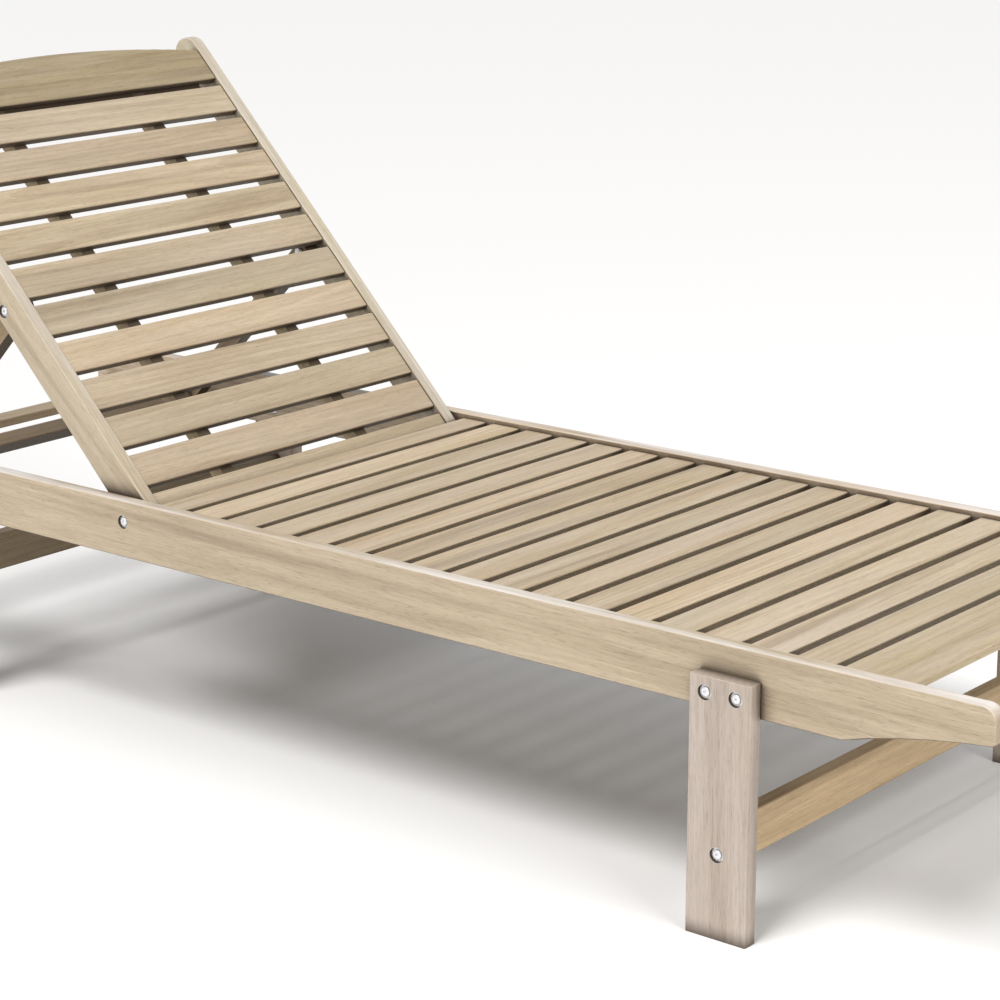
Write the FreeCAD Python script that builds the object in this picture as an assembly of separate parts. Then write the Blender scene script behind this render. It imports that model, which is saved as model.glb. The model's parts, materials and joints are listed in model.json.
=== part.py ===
import FreeCAD, Part
import math
import os

# Slatted hardwood sun lounger: fixed seat, reclining back, prop with a crossbar on notched racks.
# Millimetres. +X runs to the foot end, +Y is the left side, +Z is up.
# The origin is on the ground, under the middle of the lounger.

V = FreeCAD.Vector

# Overall sizes
LENGTH = 1986.0
WIDTH_OVER_RAILS = 660.0
SEAT_FRAME_HEIGHT = 333.0

# Boards
BOARD = 20.0
RAIL_DEPTH = 75.0
LEG_WIDTH = 80.0
STRETCHER_DEPTH = 52.0
SLAT_THICKNESS = 15.0
SLAT_GAP = 12.57
EASED_EDGE = 2.0

# Rails: the foot end sweeps up from below
RAIL_SWEEP_LENGTH = 180.0
RAIL_SWEEP_RISE = 33.5
RAIL_SWEEP_MIDDLE = 109.0
RAIL_SWEEP_MIDDLE_RISE = 17.8
RAIL_NOSE_RADIUS = 17.0
RAIL_TOE_RADIUS = 5.0

# Legs and stretchers
FRONT_LEG_FROM_FOOT = 321.0
REAR_LEG_FROM_HEAD = 367.0
LEG_TOP_DROP = 33.0
LEG_BOLT_SPACING = 40.0
LEG_BOLT_DROP = 18.4
FRONT_STRETCHER_DROP = 122.0
REAR_STRETCHER_DROP = 53.0
STRETCHER_BOLT_DROP = 11.0

# Seat
SEAT_SLATS = 17
SEAT_DROP = 7.0
SEAT_SIDE_GAP = 1.0
FOOT_BOARD_SETBACK = 124.0
FOOT_BOARD_DEPTH = 76.2
BULLNOSE_RADIUS = 14.0
LEDGER = 20.0
LEDGER_SETBACK = 4.0
SEAT_ROW_FROM_HINGE = 20.9

# Backrest
HINGE_FROM_HEAD = 728.9
REST_ANGLE = 46.0
STILE_DEPTH = 48.4
STILE_END_RADIUS = 28.5
HINGE_DROP = 28.4
STILE_SIDE_GAP = 4.5
STILE_TIP_LENGTH = 23.0
HEAD_END_GAP = 4.9
STILE_SWEEP_GAP = 4.6
BACK_SLATS = 10
BACK_SLAT_THICKNESS = 11.0
BACK_DROP = 3.0
LOWEST_SLAT_START = -12.0
LOWEST_SLAT_WIDTH = 28.1
TOP_BOARD_HEIGHT = 76.5
TOP_BOARD_ARCH = 21.5
TOP_BOARD_BELOW_TIP = 12.1
BATTEN_WIDTH = 22.0
BATTEN_SPACING = 264.0
HEAD_RAIL_WIDTH = 38.0
HEAD_RAIL_OVERLAP = 5.4
HEAD_RAIL_SCREWS = (-220.0, -80.0, 80.0, 220.0)
TENON_LENGTH = 8.0
TENON_THICKNESS = 6.0
TENON_SHOULDER = 5.0

# Prop
ARM_WIDTH = 24.0
ARM_THICKNESS = 22.0
ARM_SIDE_GAP = 1.0
ARM_SLAT_GAP = 7.8
ARM_EXTRA_LENGTH = 19.0
CROSSBAR_WIDTH = 27.0
CROSSBAR_HEAD_GAP = 10.0

# Racks and head cross rail
RACK_WIDTH = 45.0
RACK_FLOOR = 8.6
RACK_TIP_GAP = 0.6
RACK_STILE_GAP = 0.7
NOTCH_DEPTH = 8.0
NOTCH_ANGLES = (REST_ANGLE, 37.0, 27.0, 16.0)
STEEPEST_ANGLE = 50.0
RACK_STOP_GAP = 2.6
RACK_STOP_LENGTH = 19.0
RACK_HEAD_OVERLAP = 15.0
PATH_STEPS = 7
CROSS_RAIL_WIDTH = 36.0
CROSS_RAIL_THICKNESS = 13.0
CROSS_RAIL_FROM_HEAD = 60.0
CROSS_RAIL_LIFT = 4.5

# Fasteners
BOLT_RADIUS = 3.0
BOLT_HEAD_RADIUS = 5.5
BOLT_HEAD_HEIGHT = 3.4
BOLT_CROWN_HEIGHT = 1.2
SOCKET_FLATS = 4.0
SOCKET_DEPTH = 2.2
COUNTERBORE_RADIUS = 8.8
COUNTERBORE_DEPTH = 5.0
WASHER_RADIUS = 8.3
WASHER_THICKNESS = 1.4
NUT_RADIUS = 5.8
NUT_THICKNESS = 5.0
NUT_POCKET_RADIUS = 6.2
BARREL_RADIUS = 5.0
BARREL_LENGTH = 16.0
SCREW_RADIUS = 2.0
SCREW_HEAD_RADIUS = 4.0
SCREW_HEAD_HEIGHT = 2.5
SCREW_TIP = 3.0
SCREW_BITE = 8.0
LEDGER_SCREW_STEP = 2

# Clearances: one for bolts that only pass through, one for a turning fit, one between moving faces
HOLE_GAP = 0.2
RUNNING_GAP = 0.05
MOVING_GAP = 0.3
BOLT_END_GAP = 0.6

# Places worked out from the sizes above
HEAD_X = -LENGTH / 2
FOOT_X = LENGTH / 2
RAIL_OUTER = WIDTH_OVER_RAILS / 2
RAIL_INNER = RAIL_OUTER - BOARD
LEG_OUTER = RAIL_OUTER + BOARD
RAIL_TOP = SEAT_FRAME_HEIGHT
RAIL_BOTTOM = RAIL_TOP - RAIL_DEPTH
FRONT_LEG_X = FOOT_X - FRONT_LEG_FROM_FOOT
REAR_LEG_X = HEAD_X + REAR_LEG_FROM_HEAD
LEG_TOP = RAIL_TOP - LEG_TOP_DROP
LEG_BOLT_Z = LEG_TOP - LEG_BOLT_DROP

SEAT_TOP = RAIL_TOP - SEAT_DROP
SEAT_BOTTOM = SEAT_TOP - SLAT_THICKNESS
SEAT_HALF = RAIL_INNER - SEAT_SIDE_GAP
FOOT_BOARD_FRONT = FOOT_X - FOOT_BOARD_SETBACK
FOOT_BOARD_BACK = FOOT_BOARD_FRONT - FOOT_BOARD_DEPTH

HINGE_X = HEAD_X + HINGE_FROM_HEAD
HINGE_Z = RAIL_TOP - HINGE_DROP
HINGE = V(HINGE_X, 0, HINGE_Z)
STILE_SWEEP_X = HINGE_X + STILE_END_RADIUS + STILE_SWEEP_GAP
SEAT_ROW_START = FOOT_BOARD_BACK - SLAT_GAP / 2
SEAT_PITCH = (SEAT_ROW_START - HINGE_X - SEAT_ROW_FROM_HINGE) / SEAT_SLATS
SEAT_SLAT_WIDTH = SEAT_PITCH - SLAT_GAP

# On the backrest, s is the distance from the hinge to the head end, h the height over the hinge
STILE_OUTER = RAIL_INNER - STILE_SIDE_GAP
STILE_INNER = STILE_OUTER - BOARD
STILE_FRONT = STILE_END_RADIUS
STILE_BACK = STILE_FRONT - STILE_DEPTH
STILE_TIP = HINGE_FROM_HEAD - HEAD_END_GAP
BACK_FRONT = STILE_FRONT - BACK_DROP
BACK_REAR = BACK_FRONT - BACK_SLAT_THICKNESS
TOP_BOARD_TOP = STILE_TIP - TOP_BOARD_BELOW_TIP
TOP_BOARD_START = TOP_BOARD_TOP - TOP_BOARD_HEIGHT
LOWEST_SLAT_END = LOWEST_SLAT_START + LOWEST_SLAT_WIDTH
BACK_ROW_START = LOWEST_SLAT_END + SLAT_GAP
BACK_PITCH = (TOP_BOARD_START - BACK_ROW_START) / BACK_SLATS
BACK_SLAT_WIDTH = BACK_PITCH - SLAT_GAP
HEAD_RAIL_START = TOP_BOARD_START - HEAD_RAIL_OVERLAP
HEAD_RAIL_END = HEAD_RAIL_START + HEAD_RAIL_WIDTH

TIP_RADIUS = ARM_WIDTH / 2
ARM_OUTER = STILE_INNER - ARM_SIDE_GAP
ARM_INNER = ARM_OUTER - ARM_THICKNESS
HEAD_RAIL_HALF = ARM_INNER - STILE_SIDE_GAP
TIP_REACH = HEAD_RAIL_END + CROSSBAR_HEAD_GAP + CROSSBAR_WIDTH - TIP_RADIUS
PIVOT_S = (TIP_REACH - ARM_EXTRA_LENGTH) / 2
PIVOT_H = BACK_REAR - ARM_SLAT_GAP - TIP_RADIUS
ARM_LENGTH = PIVOT_S + ARM_EXTRA_LENGTH

RACK_INNER = RAIL_INNER - RACK_WIDTH
SCREW_LENGTH = BOARD + SCREW_BITE
HEAD_SINK = COUNTERBORE_DEPTH - WASHER_THICKNESS
HINGE_NUT_FACE = STILE_INNER - MOVING_GAP
PROP_NUT_FACE = ARM_INNER - MOVING_GAP
SHORT_BOLT = LEG_OUTER - HEAD_SINK - RAIL_INNER - BOLT_END_GAP
LONG_BOLT = RAIL_OUTER - HEAD_SINK - HINGE_NUT_FACE + NUT_THICKNESS + BOLT_END_GAP
PROP_BOLT = STILE_OUTER - HEAD_SINK - PROP_NUT_FACE + NUT_THICKNESS + BOLT_END_GAP

SIDES = (("left", 1), ("right", -1))
UP = V(0, 0, 1)
DOWN = V(0, 0, -1)


# Basic shapes
def block(x, y, z):
    """A box from three (low, high) spans."""
    return Part.makeBox(x[1] - x[0], y[1] - y[0], z[1] - z[0], V(x[0], y[0], z[0]))


def side_span(near, far, side):
    """The Y span between two distances from the middle, on one side."""
    return tuple(sorted((near * side, far * side)))


def rod(start, direction, radius, length):
    return Part.makeCylinder(radius, length, start, direction)


def plate(edges, y_span):
    """A closed outline in the XZ plane, drawn at Y 0, made into a board over a Y span."""
    face = Part.Face(Part.Wire(edges))
    face.translate(V(0, y_span[0], 0))
    return face.extrude(V(0, y_span[1] - y_span[0], 0))


def line(start, end):
    return Part.LineSegment(start, end).toShape()


def arc(start, middle, end):
    return Part.Arc(start, middle, end).toShape()


def runs_along(edge, axis):
    step = edge.Vertexes[-1].Point.sub(edge.Vertexes[0].Point)
    return step.Length > 0 and abs(step.normalize().dot(axis)) > 0.999


def eased(shape, axis, lowest=-math.inf):
    """Rounds the edges that run along an axis, from a height up."""
    chosen = [edge for edge in shape.Edges if runs_along(edge, axis) and edge.CenterOfMass.z > lowest]
    return shape.makeFillet(EASED_EDGE, chosen)


def cut_all(shape, tools):
    return shape.cut(Part.Compound(tools)) if tools else shape


def placed(shape, point, direction):
    """A copy of a shape that is drawn along +Z, moved to a point and turned to a direction."""
    copy = shape.copy()
    copy.Placement = FreeCAD.Placement(point, FreeCAD.Rotation(UP, direction))
    return copy


def turned(points):
    """A solid of revolution about Z from (radius, height) points."""
    outline = [V(radius, 0, height) for radius, height in points]
    face = Part.Face(Part.makePolygon(outline + outline[:1]))
    return face.revolve(V(0, 0, 0), UP, 360)


def hexagon(flats, low, high):
    corner = flats / math.sqrt(3)
    outline = [V(corner * math.cos(math.radians(60 * i)), corner * math.sin(math.radians(60 * i)), low)
               for i in range(7)]
    return Part.Face(Part.makePolygon(outline)).extrude(V(0, 0, high - low))


# Fasteners, each drawn with its seat at the origin and its shank down -Z
def bolt(length):
    crown = BOLT_HEAD_HEIGHT - BOLT_CROWN_HEIGHT
    shape = turned([(0, -length), (BOLT_RADIUS, -length), (BOLT_RADIUS, 0), (BOLT_HEAD_RADIUS, 0),
                    (BOLT_HEAD_RADIUS, crown), (BOLT_HEAD_RADIUS - BOLT_CROWN_HEIGHT, BOLT_HEAD_HEIGHT),
                    (0, BOLT_HEAD_HEIGHT)])
    return shape.cut(hexagon(SOCKET_FLATS, BOLT_HEAD_HEIGHT - SOCKET_DEPTH, BOLT_HEAD_HEIGHT + 1))


def washer():
    ring = Part.makeCylinder(WASHER_RADIUS, WASHER_THICKNESS)
    return ring.cut(Part.makeCylinder(BOLT_RADIUS + HOLE_GAP, WASHER_THICKNESS))


def nut():
    body = hexagon(NUT_RADIUS * math.sqrt(3), 0, NUT_THICKNESS)
    return body.cut(Part.makeCylinder(BOLT_RADIUS + RUNNING_GAP, NUT_THICKNESS))


def screw(grow=0.0):
    """A countersunk wood screw, or with a grow value the hole it sits in."""
    tip = SCREW_LENGTH + grow
    return turned([(0, -tip), (SCREW_RADIUS + grow, SCREW_TIP - tip),
                   (SCREW_RADIUS + grow, -SCREW_HEAD_HEIGHT), (SCREW_HEAD_RADIUS + grow, 0), (0, 0)])


def counterbored_hole(point, outward, shank_radius, length):
    """The hole for a bolt whose head is sunk in a face: the point is on that face."""
    head = rod(point, -outward, COUNTERBORE_RADIUS, COUNTERBORE_DEPTH)
    return head.fuse(rod(point, -outward, shank_radius, length))


def seat_point(point, outward):
    """Where the underside of a sunk bolt head sits, on its washer."""
    return point - outward * HEAD_SINK


def washer_point(point, outward):
    return point - outward * COUNTERBORE_DEPTH


# Backrest and prop geometry
def back_point(s, h, y=0.0):
    """A point of the backrest while it lies flat."""
    return V(HINGE_X - s, y, HINGE_Z + h)


def reclined(shape):
    """Turns what was drawn on the flat backrest up to the stored angle."""
    return shape.rotated(HINGE, V(0, 1, 0), REST_ANGLE)


def tip_centre(angle):
    """The centre of the prop's rounded tips with the backrest at an angle."""
    turn = math.radians(angle)
    along = TIP_REACH * math.cos(turn) - PIVOT_H * math.sin(turn)
    height = (PIVOT_S - ARM_LENGTH) * math.sin(turn) + PIVOT_H * math.cos(turn)
    return V(HINGE_X - along, 0, HINGE_Z + height)


def prop_pivot():
    turn = math.radians(REST_ANGLE)
    along = PIVOT_S * math.cos(turn) - PIVOT_H * math.sin(turn)
    height = PIVOT_S * math.sin(turn) + PIVOT_H * math.cos(turn)
    return V(HINGE_X - along, 0, HINGE_Z + height)


def hung(shape):
    """Moves what was drawn along -X from the origin to the prop's place at rest."""
    return shape.rotated(V(0, 0, 0), V(0, 1, 0), -REST_ANGLE).translated(prop_pivot())


# Fastener places
def leg_bolt_points(leg_x, side):
    """The outer-face points of a leg's two upper bolts."""
    half = LEG_BOLT_SPACING / 2
    return [V(leg_x + offset, LEG_OUTER * side, LEG_BOLT_Z) for offset in (-half, half)]


def stretcher_span(drop):
    top = RAIL_BOTTOM - drop
    return (top - STRETCHER_DEPTH, top)


def stretcher_bolt_z(drop):
    low, high = stretcher_span(drop)
    return (low + high) / 2 - STRETCHER_BOLT_DROP


LEGS = (("front", FRONT_LEG_X, FRONT_STRETCHER_DROP), ("rear", REAR_LEG_X, REAR_STRETCHER_DROP))
BARREL_Y = LEG_OUTER - HEAD_SINK - LONG_BOLT + BARREL_RADIUS


def seat_spans():
    """The X span of each seat slat, from the foot end; the last clears the turning stile ends."""
    spans = []
    for index in range(SEAT_SLATS):
        centre = SEAT_ROW_START - SEAT_PITCH * (index + 0.5)
        spans.append((centre - SEAT_SLAT_WIDTH / 2, centre + SEAT_SLAT_WIDTH / 2))
    spans[-1] = (max(spans[-1][0], STILE_SWEEP_X), spans[-1][1])
    return spans


def back_spans():
    """The s span of each ordinary backrest slat, from the hinge up."""
    return [(BACK_ROW_START + BACK_PITCH * index, BACK_ROW_START + BACK_PITCH * index + BACK_SLAT_WIDTH)
            for index in range(BACK_SLATS)]


def middle(span):
    return (span[0] + span[1]) / 2


LEDGER_SPAN = (STILE_SWEEP_X + LEDGER_SETBACK, FOOT_BOARD_FRONT - LEDGER_SETBACK)
FOOT_SPAN = (FOOT_BOARD_BACK, FOOT_BOARD_FRONT)
LEDGER_MIDDLE = RAIL_INNER - LEDGER / 2


def seat_screws(side):
    """(head point, head direction) of the screws up through one ledger into the slats."""
    spans = seat_spans() + [FOOT_SPAN]
    return [(V(middle(span), LEDGER_MIDDLE * side, SEAT_BOTTOM - LEDGER), DOWN) for span in spans]


def ledger_screws(side):
    """The screws through one ledger into its rail, under every second gap."""
    gaps = range(1, SEAT_SLATS, LEDGER_SCREW_STEP)
    return [(V(SEAT_ROW_START - SEAT_PITCH * index, (RAIL_INNER - LEDGER) * side, SEAT_BOTTOM - LEDGER / 2),
             V(0, -side, 0)) for index in gaps]


RACK_TOP_REST = tip_centre(REST_ANGLE).z - TIP_RADIUS - RACK_TIP_GAP
RACK_BOTTOM = RACK_TOP_REST - NOTCH_DEPTH - RACK_FLOOR
RACK_HEAD = tip_centre(0).x
RACK_STOP_X = tip_centre(STEEPEST_ANGLE).x + TIP_RADIUS + RACK_STOP_GAP
RACK_FOOT = RACK_STOP_X + RACK_STOP_LENGTH
RACK_LIMIT = HINGE_Z + min(STILE_BACK - RACK_STILE_GAP, PIVOT_H - TIP_RADIUS - RACK_TIP_GAP)
CROSS_RAIL_SPAN = (HEAD_X + CROSS_RAIL_FROM_HEAD, HEAD_X + CROSS_RAIL_FROM_HEAD + CROSS_RAIL_WIDTH)
CROSS_RAIL_Z = (RACK_BOTTOM + CROSS_RAIL_LIFT, RACK_BOTTOM + CROSS_RAIL_LIFT + CROSS_RAIL_THICKNESS)


def rack_screws(side):
    """The screws that fix a rack to its rail: in the stop and in the first two teeth."""
    notches = [tip_centre(angle).x for angle in NOTCH_ANGLES]
    places = [RACK_STOP_X + RACK_STOP_LENGTH / 2, middle(notches[0:2]), middle(notches[1:3])]
    sunk = RAIL_INNER - SCREW_LENGTH + SCREW_BITE
    return [(V(x, sunk * side, RACK_BOTTOM + RACK_FLOOR), V(0, -side, 0)) for x in places]


def cross_rail_screws(side):
    """The screw through a rack into the end of the head cross rail, driven before the rail goes on."""
    notches = [tip_centre(angle).x for angle in NOTCH_ANGLES]
    sunk = RACK_INNER + SCREW_LENGTH - SCREW_BITE
    return [(V(middle(notches[2:4]), sunk * side, middle(CROSS_RAIL_Z)), V(0, side, 0))]


def frame_screw_places():
    places = []
    for _, side in SIDES:
        places += seat_screws(side) + ledger_screws(side) + rack_screws(side) + cross_rail_screws(side)
    return places


def batten_screws(side):
    """The screws from behind through one batten into each slat."""
    spans = [(LOWEST_SLAT_START, LOWEST_SLAT_END)] + back_spans()
    return [(back_point(middle(span), BACK_REAR - BOARD, BATTEN_SPACING / 2 * side), DOWN) for span in spans]


def head_rail_screws():
    s = HEAD_RAIL_START + HEAD_RAIL_WIDTH / 2
    return [(back_point(s, BACK_REAR - BOARD, y), DOWN) for y in HEAD_RAIL_SCREWS]


def screw_holes(places):
    return [placed(screw(HOLE_GAP), point, direction) for point, direction in places]


# Frame pieces
def rail(side):
    sweep = FOOT_X - RAIL_SWEEP_LENGTH
    toe = RAIL_BOTTOM + RAIL_SWEEP_RISE
    outline = [
        line(V(HEAD_X, 0, RAIL_BOTTOM), V(sweep, 0, RAIL_BOTTOM)),
        arc(V(sweep, 0, RAIL_BOTTOM), V(FOOT_X - RAIL_SWEEP_MIDDLE, 0, RAIL_BOTTOM + RAIL_SWEEP_MIDDLE_RISE),
            V(FOOT_X, 0, toe)),
        line(V(FOOT_X, 0, toe), V(FOOT_X, 0, RAIL_TOP)),
        line(V(FOOT_X, 0, RAIL_TOP), V(HEAD_X, 0, RAIL_TOP)),
        line(V(HEAD_X, 0, RAIL_TOP), V(HEAD_X, 0, RAIL_BOTTOM)),
    ]
    shape = plate(outline, side_span(RAIL_INNER, RAIL_OUTER, side))
    for corner, radius in ((V(FOOT_X, 0, RAIL_TOP), RAIL_NOSE_RADIUS), (V(FOOT_X, 0, toe), RAIL_TOE_RADIUS)):
        chosen = [edge for edge in shape.Edges if runs_along(edge, V(0, 1, 0))
                  and abs(edge.CenterOfMass.z - corner.z) < 1 and abs(edge.CenterOfMass.x - corner.x) < 1]
        shape = shape.makeFillet(radius, chosen)
    shape = eased(shape, V(1, 0, 0))
    outward = V(0, side, 0)
    tools = []
    for _, leg_x, _ in LEGS:
        for point in leg_bolt_points(leg_x, side):
            tools.append(rod(point, -outward, BOLT_RADIUS + HOLE_GAP, LEG_OUTER))
            inner = V(point.x, RAIL_INNER * side, point.z)
            tools.append(rod(inner, outward, NUT_POCKET_RADIUS, NUT_THICKNESS))
    hinge_face = V(HINGE_X, RAIL_OUTER * side, HINGE_Z)
    tools.append(counterbored_hole(hinge_face, outward, BOLT_RADIUS + HOLE_GAP, BOARD))
    tools += screw_holes(ledger_screws(side) + rack_screws(side))
    return cut_all(shape, tools)


def leg(leg_x, drop, side):
    shape = block((leg_x - LEG_WIDTH / 2, leg_x + LEG_WIDTH / 2), side_span(RAIL_OUTER, LEG_OUTER, side),
                  (0, LEG_TOP))
    shape = eased(shape, UP)
    outward = V(0, side, 0)
    points = leg_bolt_points(leg_x, side) + [V(leg_x, LEG_OUTER * side, stretcher_bolt_z(drop))]
    through = BOLT_RADIUS + HOLE_GAP
    return cut_all(shape, [counterbored_hole(point, outward, through, BOARD) for point in points])


def stretcher(leg_x, drop):
    shape = block((leg_x - BOARD / 2, leg_x + BOARD / 2), (-RAIL_OUTER, RAIL_OUTER), stretcher_span(drop))
    shape = eased(shape, V(0, 1, 0))
    tools = []
    for _, side in SIDES:
        outward = V(0, side, 0)
        bolt_z = stretcher_bolt_z(drop)
        depth = HEAD_SINK + LONG_BOLT + BOLT_END_GAP - BOARD
        tools.append(rod(V(leg_x, RAIL_OUTER * side, bolt_z), -outward, BOLT_RADIUS + HOLE_GAP, depth))
        tools.append(rod(V(leg_x - BOARD / 2, BARREL_Y * side, bolt_z), V(1, 0, 0), BARREL_RADIUS + HOLE_GAP,
                         BARREL_LENGTH + HOLE_GAP))
    return cut_all(shape, tools)


def ledger(side):
    across = side_span(RAIL_INNER - LEDGER, RAIL_INNER, side)
    shape = block(LEDGER_SPAN, across, (SEAT_BOTTOM - LEDGER, SEAT_BOTTOM))
    return cut_all(shape, screw_holes(seat_screws(side) + ledger_screws(side)))


def seat_slat(span):
    shape = block(span, (-SEAT_HALF, SEAT_HALF), (SEAT_BOTTOM, SEAT_TOP))
    shape = eased(shape, V(0, 1, 0), SEAT_TOP - 1)
    near = [place for side in (1, -1) for place in seat_screws(side) if span[0] < place[0].x < span[1]]
    return cut_all(shape, screw_holes(near))


def foot_board():
    shape = block(FOOT_SPAN, (-SEAT_HALF, SEAT_HALF), (SEAT_BOTTOM, SEAT_TOP))
    front = [edge for edge in shape.Edges if runs_along(edge, V(0, 1, 0))
             and edge.CenterOfMass.z > SEAT_TOP - 1 and edge.CenterOfMass.x > FOOT_BOARD_FRONT - 1]
    shape = shape.makeFillet(min(BULLNOSE_RADIUS, SLAT_THICKNESS - 1), front)
    near = [place for side in (1, -1) for place in seat_screws(side) if place[0].x > FOOT_BOARD_BACK]
    return cut_all(shape, screw_holes(near))


def rack(side):
    """A batten whose top follows the prop's tips, with a notch for each backrest angle."""
    def under_tip(angle):
        centre = tip_centre(angle)
        return V(centre.x, 0, min(centre.z - TIP_RADIUS - RACK_TIP_GAP, RACK_LIMIT))

    travel = STEEPEST_ANGLE - NOTCH_ANGLES[-1]
    points = [under_tip(STEEPEST_ANGLE - travel * step / PATH_STEPS) for step in range(PATH_STEPS + 1)]
    curve = Part.BSplineCurve()
    curve.interpolate(points)
    head_x = RACK_HEAD - RACK_HEAD_OVERLAP
    first = points[0]
    last = points[-1]
    outline = [
        line(V(head_x, 0, RACK_BOTTOM), V(RACK_FOOT, 0, RACK_BOTTOM)),
        line(V(RACK_FOOT, 0, RACK_BOTTOM), V(RACK_FOOT, 0, RACK_LIMIT)),
        line(V(RACK_FOOT, 0, RACK_LIMIT), V(RACK_STOP_X, 0, RACK_LIMIT)),
        line(V(RACK_STOP_X, 0, RACK_LIMIT), V(RACK_STOP_X, 0, first.z)),
        line(V(RACK_STOP_X, 0, first.z), first),
        curve.toShape(),
        line(last, V(head_x, 0, last.z)),
        line(V(head_x, 0, last.z), V(head_x, 0, RACK_BOTTOM)),
    ]
    shape = plate(outline, side_span(RACK_INNER, RAIL_INNER, side))
    tools = []
    for angle in NOTCH_ANGLES:
        centre = tip_centre(angle) - V(0, LEG_OUTER, NOTCH_DEPTH)
        tools.append(rod(centre, V(0, 1, 0), TIP_RADIUS + RACK_TIP_GAP, 2 * LEG_OUTER))
    pilot = SCREW_HEAD_RADIUS + HOLE_GAP
    for point, direction in rack_screws(side) + cross_rail_screws(side):
        tools.append(rod(point, direction, pilot, RACK_WIDTH))
    tools += screw_holes(rack_screws(side) + cross_rail_screws(side))
    return cut_all(shape, tools)


def head_cross_rail():
    shape = block(CROSS_RAIL_SPAN, (-RACK_INNER, RACK_INNER), CROSS_RAIL_Z)
    shape = eased(shape, V(0, 1, 0))
    return cut_all(shape, screw_holes(cross_rail_screws(1) + cross_rail_screws(-1)))


# Backrest pieces, drawn flat and then turned up
def tenoned(s_span):
    """The two stub tenons of a slat, and the same two grown into mortises."""
    tenons = []
    mortises = []
    height = BACK_FRONT - BACK_SLAT_THICKNESS / 2
    for _, side in SIDES:
        for grow, pieces in ((0.0, tenons), (HOLE_GAP, mortises)):
            low = HINGE_X - s_span[1] + TENON_SHOULDER - grow
            high = HINGE_X - s_span[0] - TENON_SHOULDER + grow
            half = TENON_THICKNESS / 2 + grow
            z_middle = HINGE_Z + height
            pieces.append(block((low, high), side_span(STILE_INNER, STILE_INNER + TENON_LENGTH + grow, side),
                                (z_middle - half, z_middle + half)))
    return tenons, mortises


TOP_BOARD_SHOULDER_END = TOP_BOARD_TOP - TOP_BOARD_ARCH
LOWEST_SPAN = (LOWEST_SLAT_START, LOWEST_SLAT_END)
TOP_SPAN = (TOP_BOARD_START, TOP_BOARD_SHOULDER_END)


def stile(side):
    """A side board of the backrest: round about the hinge, straight, and rounded at the tip."""
    round_end = max(STILE_BACK, -STILE_END_RADIUS)
    lowest = back_point(-math.sqrt(STILE_END_RADIUS ** 2 - round_end ** 2), round_end)
    heel = back_point(HINGE_X - lowest.x, STILE_BACK)
    straight = STILE_TIP - STILE_TIP_LENGTH
    outline = [arc(back_point(0, STILE_FRONT), back_point(-STILE_END_RADIUS, 0), lowest)]
    if round_end > STILE_BACK:
        outline.append(line(lowest, heel))
    outline += [
        line(heel, back_point(straight, STILE_BACK)),
        arc(back_point(straight, STILE_BACK), back_point(STILE_TIP, (STILE_FRONT + STILE_BACK) / 2),
            back_point(straight, STILE_FRONT)),
        line(back_point(straight, STILE_FRONT), back_point(0, STILE_FRONT)),
    ]
    shape = plate(outline, side_span(STILE_INNER, STILE_OUTER, side))
    shape = eased(shape, V(1, 0, 0), HINGE_Z)
    outward = V(0, side, 0)
    tools = [rod(V(HINGE_X, 0, HINGE_Z), outward, BOLT_RADIUS + RUNNING_GAP, LEG_OUTER)]
    tools.append(counterbored_hole(back_point(PIVOT_S, PIVOT_H, STILE_OUTER * side), outward,
                                   BOLT_RADIUS + HOLE_GAP, BOARD))
    for span in [LOWEST_SPAN] + back_spans() + [TOP_SPAN]:
        tools += tenoned(span)[1]
    return reclined(cut_all(shape, tools))


def back_slat(s_span):
    shape = block((HINGE_X - s_span[1], HINGE_X - s_span[0]), (-STILE_INNER, STILE_INNER),
                  (HINGE_Z + BACK_REAR, HINGE_Z + BACK_FRONT))
    shape = eased(shape, V(0, 1, 0), HINGE_Z + BACK_FRONT - 1)
    shape = shape.fuse(tenoned(s_span)[0])
    near = [place for side in (1, -1) for place in batten_screws(side)
            if s_span[0] < HINGE_X - place[0].x < s_span[1]]
    return reclined(cut_all(shape, screw_holes(near)))


def top_board():
    """The board across the head of the backrest, its upper edge a shallow arch."""
    start = HINGE_X - TOP_BOARD_START
    shoulder = HINGE_X - TOP_BOARD_SHOULDER_END
    z_low = HINGE_Z + BACK_REAR
    corners = [V(start, -STILE_INNER, z_low), V(start, STILE_INNER, z_low), V(shoulder, STILE_INNER, z_low),
               V(shoulder, -STILE_INNER, z_low)]
    crown = V(HINGE_X - TOP_BOARD_TOP, 0, z_low)
    outline = [line(corners[0], corners[1]), line(corners[1], corners[2]), arc(corners[2], crown, corners[3]),
               line(corners[3], corners[0])]
    shape = Part.Face(Part.Wire(outline)).extrude(V(0, 0, BACK_SLAT_THICKNESS))
    ends = [edge for edge in shape.Edges if edge.CenterOfMass.z > z_low + BACK_SLAT_THICKNESS - 1
            and abs(edge.CenterOfMass.y) < 1]
    shape = shape.makeFillet(EASED_EDGE, ends)
    shape = shape.fuse(tenoned(TOP_SPAN)[0])
    return reclined(cut_all(shape, screw_holes(head_rail_screws())))


# The battens cross the head rail in a halving joint: each gives up half its depth
BEHIND_SLATS = (HINGE_Z + BACK_REAR - BOARD, HINGE_Z + BACK_REAR)
HALVING_Z = (BEHIND_SLATS[0] + BEHIND_SLATS[1]) / 2
HEAD_RAIL_SPAN = (HINGE_X - HEAD_RAIL_END, HINGE_X - HEAD_RAIL_START)


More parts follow.
